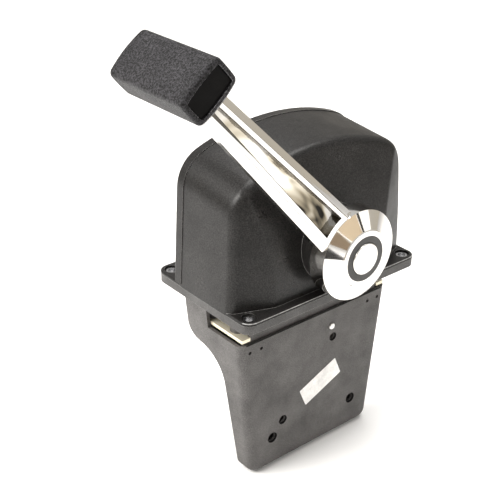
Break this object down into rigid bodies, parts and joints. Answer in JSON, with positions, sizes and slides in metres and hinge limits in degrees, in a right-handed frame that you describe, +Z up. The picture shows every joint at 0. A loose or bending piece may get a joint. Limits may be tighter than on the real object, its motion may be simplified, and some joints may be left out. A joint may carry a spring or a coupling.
{
  "type": "boat throttle control lever",
  "caption": "Top-mount single-lever boat engine control: polished arm with square grip on an arched black cover, with a tapering cable housing under the deck flange.",
  "frame": {"origin": "centre of the four deck bolt holes, on the underside of the deck flange", "axes": "+X fore and aft along the long side of the flange, -Y the side the lever is on, +Z up out of the deck"},
  "size_m": [0.2303, 0.131, 0.3383],
  "materials": {
    "cover_black": "satin moulded plastic with a fine sheen",
    "frame_black": "matte moulded plastic",
    "housing_grey": "matte dark grey moulded plastic",
    "polished_chrome": "mirror polished",
    "grip_charcoal": "fine grained charcoal plastic",
    "plug_black": "matte black plastic",
    "zinc_plate": "warm zinc plated sheet steel",
    "bright_steel": "bright turned stainless steel",
    "gear_steel": "oiled cut steel",
    "dark_screw": "black oxide",
    "bush_bronze": "sintered bronze",
    "seal_rubber": "matte black rubber",
    "ring_grey": "satin dark grey",
    "button_bright": "satin bright metal",
    "spring_steel": "drawn spring wire"
  },
  "bodies": {
    "housing": {"base_frame": "frame_black", "collar_bush": "bush_bronze", "collar_seal": "seal_rubber", "detent_ball": "bright_steel", "detent_block": "frame_black", "detent_plug": "bright_steel", "detent_screws": "bright_steel", "detent_spring": "spring_steel", "dome_cover": "cover_black", "ear_bushes": "bright_steel", "foot_screws": "bright_steel", "frame_pillars": "bright_steel", "front_frame_plate": "zinc_plate", "front_shaft_bush": "bush_bronze", "housing_rivet": "bright_steel", "housing_screws": "bright_steel", "lower_housing": "housing_grey", "mounting_plate": "zinc_plate", "pillar_screws": "bright_steel", "plate_screws": "bright_steel", "rear_cover": "cover_black", "rear_cover_screws": "dark_screw", "rear_frame_plate": "zinc_plate", "rear_shaft_bush": "bush_bronze"},
    "lever": {"lever_arm": "polished_chrome", "hub_set_screw": "dark_screw", "hub_trim_ring": "ring_grey", "main_shaft": "bright_steel", "grip": "grip_charcoal", "grip_end_plug": "plug_black", "grip_screw": "bright_steel", "shift_pinion": "gear_steel", "throttle_pinion": "gear_steel", "detent_disc": "gear_steel", "shaft_washer": "bright_steel", "shaft_clip_ring": "spring_steel", "button_spring": "spring_steel"},
    "button": {"neutral_button": "button_bright", "button_rod": "bright_steel"},
    "shift_drive": {"shift_sector": "gear_steel", "shift_shaft": "bright_steel", "shift_arm": "zinc_plate", "shift_cable_pin": "bright_steel", "shift_shaft_clip": "spring_steel"},
    "throttle_drive": {"throttle_sector": "gear_steel", "throttle_shaft": "bright_steel", "throttle_arm": "zinc_plate", "throttle_cable_pin": "bright_steel", "throttle_shaft_clip": "spring_steel"}
  },
  "joints": [
    {"name": "lever_pivot", "type": "hinge", "parent": "housing", "child": "lever", "pos_m": [0, 0, 0.041], "axis": [0, 1, 0], "range_deg": [-36.8, 113.2]},
    {"name": "button_travel", "type": "slide", "parent": "lever", "child": "button", "axis": [0, 1, 0], "range_m": [0, 0.004], "stiffness_N_per_m": 800, "springref_m": -0.003, "deforming": ["button_spring"]},
    {"name": "shift_pivot", "type": "hinge", "parent": "housing", "child": "shift_drive", "pos_m": [-0.022, 0, 0.00174], "axis": [0, 1, 0], "range_deg": [-37.8, 12.4]},
    {"name": "throttle_pivot", "type": "hinge", "parent": "housing", "child": "throttle_drive", "pos_m": [0.022, 0, 0.00174], "axis": [0, 1, 0], "range_deg": [-43.6, 14.3]}
  ],
  "couplings": [
    {"joint": "shift_pivot", "follows": "lever_pivot", "ratio": -0.33333},
    {"joint": "throttle_pivot", "follows": "lever_pivot", "ratio": -0.38462}
  ]
}
